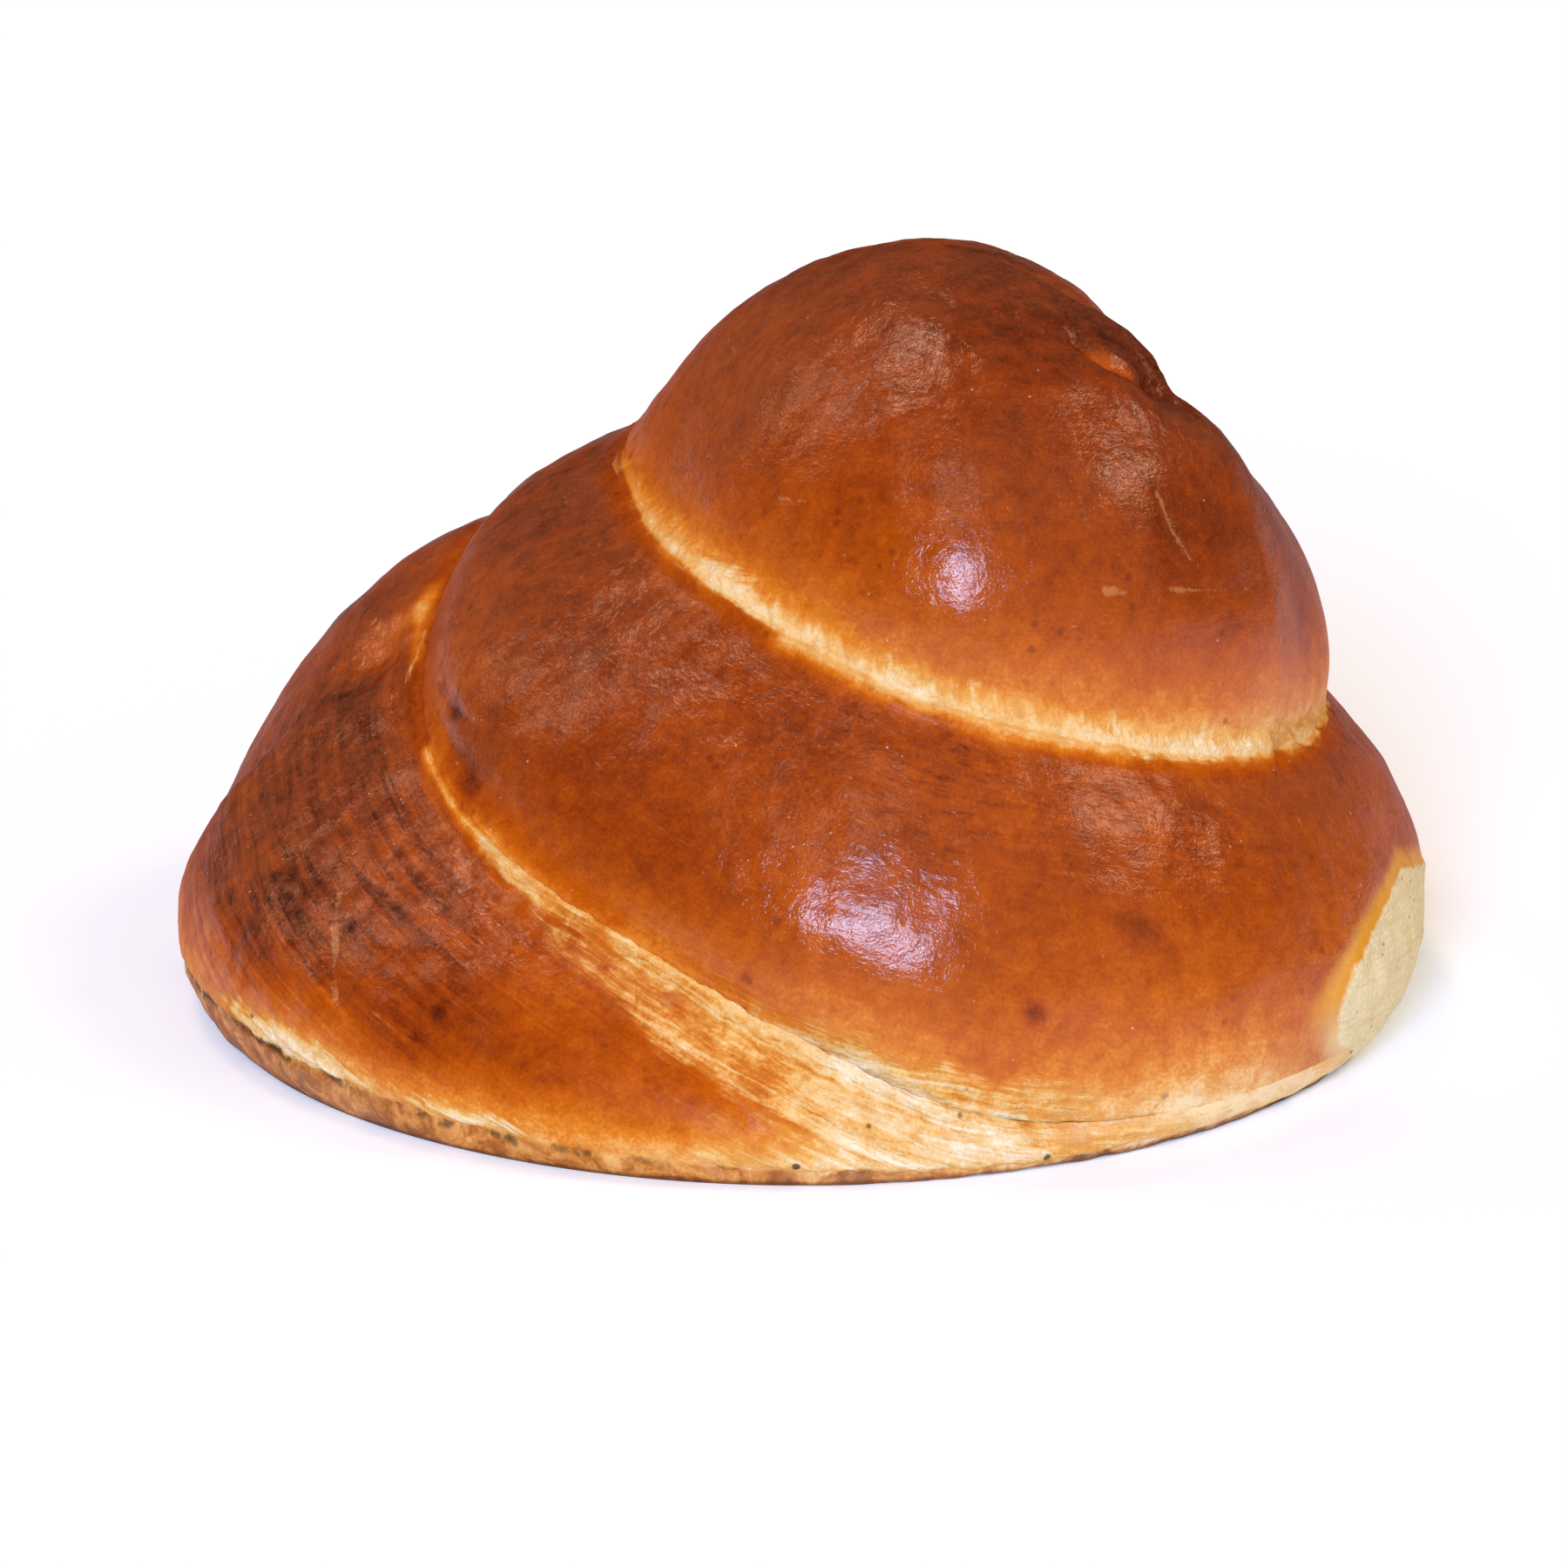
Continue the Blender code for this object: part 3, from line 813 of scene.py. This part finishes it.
    def base_edge(self, colour):
        """The browned edge of the base, scorched along its upper side at the front left."""
        graph = self.graph
        chunks = graph.noise(self.place, 5.0, 4, 0.65, 0.6)
        wavy = graph.add(self.sole, graph.times(chunks, 3.2))
        tone = graph.add(0.66, graph.times(chunks, 2.2), graph.times(self.grain, 0.7), graph.times(self.sole, 0.05))
        colour = graph.mix(graph.times(graph.step(wavy, 0.5, -0.7), 0.9), colour, graph.ramp(tone, EDGE_STOPS))
        height = graph.put("ShaderNodeSeparateXYZ", {0: self.place}, output=2)
        foot = graph.times(graph.step(graph.add(height, chunks), 1.1, 0.3), 0.7)
        colour = graph.mix(foot, colour, FOOT_COLOUR)
        line = graph.step(graph.maths("ABSOLUTE", graph.add(wavy, 0.5)), 1.3, 0.3)
        scorch = graph.read("scorch")
        patches = graph.step(graph.add(graph.noise(self.place, 6, 3, 0.6), graph.times(scorch, 0.14)), 0.10, 0.20)
        scorched = graph.times(line, patches, scorch)
        return graph.mix(graph.times(scorched, 0.9), colour, SCORCH_COLOUR)

    def touched(self, colour):
        """The pale, porous patch where a neighbour pulled away, with a lip of amber glaze and painted shade in its
        pores.
        """
        graph = self.graph
        chunks = graph.noise(self.place, 5.5, 4, 0.6)
        edge = graph.add(graph.read("kiss"), graph.times(chunks, 0.22), graph.times(self.grain, 0.05))
        height = graph.put("ShaderNodeSeparateXYZ", {0: self.place}, output=2)
        glaze = graph.times(graph.step(edge, -0.46, -0.12), graph.step(height, 10, 17), 0.85)
        colour = graph.mix(glaze, colour, graph.ramp(graph.add(0.5, chunks), GLAZE_STOPS))
        cream = graph.times(graph.step(edge, -0.32, -0.04), graph.step(height, 17, 9), 0.8)
        colour = graph.mix(cream, colour, LIP_COLOUR)
        self.kissed = graph.step(edge, -0.04, 0.03)
        pores = graph.add(graph.noise(self.place, 0.8, 4, 0.7), graph.times(chunks, 0.6), 0.5)
        colour = graph.mix(self.kissed, colour, graph.ramp(pores, KISS_STOPS))
        # Painted shade: dark dots where the pores open, standing for the shade inside them
        shaded_holes = graph.times(graph.step(graph.dots(self.place, 3.1), 0.14, 0.06), self.kissed)
        return graph.mix(graph.times(shaded_holes, 0.75), colour, PORE_SHADE_COLOUR)

    def cracked(self, colour):
        """A few thin cracks."""
        graph = self.graph
        ragged = graph.add(graph.read("crack"), graph.times(self.grain, 1.2), graph.times(self.mottle, 1.0))
        crack = graph.step(ragged, 0.58, 0.12)
        return graph.mix(graph.times(crack, 0.28), colour, CRACK_COLOUR)

    def speckled(self, colour):
        """Dark freckles and tiny pale blisters in the wash."""
        graph = self.graph
        sparse = graph.step(graph.noise(self.place, 10, 2), 0.0, 0.2)
        freckles = graph.times(graph.step(graph.dots(self.place, 2.6), 0.34, 0.12), sparse, self.glazed)
        colour = graph.mix(graph.times(freckles, 0.5), colour, FRECKLE_COLOUR)
        spread = graph.step(graph.noise(graph.stretched(self.place, (1, 1, -1)), 11, 2), 0.02, 0.15)
        self.blisters = graph.times(graph.step(graph.dots(self.place, 2.9), 0.09, 0.05), self.glazed, spread)
        return graph.mix(graph.times(self.blisters, 0.35), colour, BLISTER_COLOUR)

    def relief(self):
        """Fine relief in millimetres: crinkles, the wash's pebbly film, strands of torn crumb."""
        graph = self.graph
        crinkle = graph.add(0.34, graph.times(graph.read("crinkle"), 0.75))
        folds = graph.add(graph.times(self.pull(self.along, 1.1, 3, 0.6), 0.10),
                          graph.times(self.pull(self.along, 2.6, 3, 0.6), graph.read("folds"), 0.25),
                          graph.times(graph.noise(self.place, 1.5, 4, 0.62, 0.5), 0.16))
        pebbles = graph.times(graph.noise(self.place, 0.45, 2, 0.6), 0.042)
        film = graph.times(graph.add(graph.times(folds, crinkle), pebbles), self.glazed)
        crumbs = graph.add(graph.times(self.weave, 0.8), graph.times(graph.noise(self.place, 0.9, 4, 0.65), 0.6))
        return graph.add(film, graph.times(crumbs, self.matt), graph.times(self.blisters, 0.06))

    def finish(self, colour):
        """Feed the shader: egg wash as a clear coat over the crust."""
        graph = self.graph
        bump = graph.put("ShaderNodeBump", {"Height": self.relief(), "Distance": 0.001, "Strength": 1.0})
        roughness = graph.add(0.42, graph.times(self.matt, 0.3), graph.times(self.grain, 0.2))
        values = {"Base Color": colour, "Roughness": roughness, "Normal": bump, "Coat Normal": bump,
                  "Coat Weight": self.coated, "Coat Roughness": COAT_ROUGHNESS, "Coat IOR": COAT_IOR,
                  "Specular IOR Level": SPECULAR_LEVEL}
        for name, value in values.items():
            graph.feed(graph.shader.inputs[name], value)


# ---------------------------------------------------------------- studio

def make_camera():
    """Long lens, a little above the loaf."""
    data = bpy.data.cameras.new("camera")
    data.lens = LENS_MM
    data.sensor_width = 36.0
    data.clip_start = 0.01
    data.clip_end = 100.0
    camera = bpy.data.objects.new("camera", data)
    camera.location = CAMERA_PLACE
    camera.rotation_euler = (Vector(CAMERA_AIM) - Vector(CAMERA_PLACE)).to_track_quat("-Z", "Y").to_euler()
    bpy.context.collection.objects.link(camera)
    bpy.context.scene.camera = camera


def make_floor():
    """Plain pale floor."""
    mesh = bpy.data.meshes.new("floor")
    half = FLOOR_SIZE / 2
    mesh.from_pydata([(-half, -half, 0), (half, -half, 0), (half, half, 0), (-half, half, 0)], [], [(0, 1, 2, 3)])
    material = bpy.data.materials.new("pale floor")
    material.use_nodes = True
    shader = material.node_tree.nodes["Principled BSDF"]
    shader.inputs["Base Color"].default_value = (0.80, 0.86, 0.96, 1)
    shader.inputs["Emission Color"].default_value = (0.78, 0.87, 1, 1)
    shader.inputs["Emission Strength"].default_value = FLOOR_GLOW
    shader.inputs["Roughness"].default_value = 0.9
    shader.inputs["Specular IOR Level"].default_value = 0.1
    mesh.materials.append(material)
    floor = bpy.data.objects.new("floor", mesh)
    bpy.context.collection.objects.link(floor)


def light_way(azimuth, elevation):
    """Unit vector towards a light. Azimuth 270 is the camera's side."""
    level = np.cos(radians(elevation))
    return Vector((np.cos(radians(azimuth)) * level, np.sin(radians(azimuth)) * level, np.sin(radians(elevation))))


def make_sun(name, azimuth, elevation, spread, strength, colour=(1, 1, 1)):
    """Distant light, this many degrees across, so that the floor is evenly lit."""
    data = bpy.data.lights.new(name, "SUN")
    data.energy = strength
    data.angle = radians(spread)
    data.color = colour
    light = bpy.data.objects.new(name, data)
    light.rotation_euler = (-light_way(azimuth, elevation)).to_track_quat("-Z", "Y").to_euler()
    bpy.context.collection.objects.link(light)


def make_world():
    """Pale walls all round under a dim ceiling."""
    world = bpy.data.worlds.new("studio")
    bpy.context.scene.world = world
    world.use_nodes = True
    tree = world.node_tree
    place = tree.nodes.new("ShaderNodeTexCoord")
    parts = tree.nodes.new("ShaderNodeSeparateXYZ")
    height = tree.nodes.new("ShaderNodeMapRange")
    height.interpolation_type = "SMOOTHSTEP"
    height.inputs["From Min"].default_value = 0.15
    height.inputs["From Max"].default_value = 0.55
    height.inputs["To Min"].default_value = WALL_LIGHT
    height.inputs["To Max"].default_value = CEILING_LIGHT
    tree.links.new(place.outputs["Generated"], parts.inputs[0])
    tree.links.new(parts.outputs["Z"], height.inputs["Value"])
    tree.nodes["Background"].inputs["Color"].default_value = (*WARM_WHITE, 1.0)
    tree.links.new(height.outputs[0], tree.nodes["Background"].inputs["Strength"])


def make_studio():
    """Camera, floor, lights and surroundings."""
    make_camera()
    make_floor()
    make_world()
    make_sun("flash", 257, 27, 20, 3.1, FLASH_COLOUR)
    make_sun("left_window", 156, 46, 9, 0.22, WINDOW_COLOUR)
    make_sun("low_window", 154, 31, 9, 0.15, WINDOW_COLOUR)
    make_sun("back_window", 129, 66, 14, 0.60, WINDOW_COLOUR)
    make_sun("right_window", 4, 46, 16, 0.65, WINDOW_COLOUR)
    make_sun("front_window", 246, 60, 13, 0.26, WINDOW_COLOUR)
    make_sun("lamp", 295, 35, 100, 0.88, WARM_WHITE)
    make_sun("overhead", 90, 70, 120, 0.45, WARM_WHITE)
    bpy.context.scene.view_settings.view_transform = "Standard"


make_studio()
make_loaf()
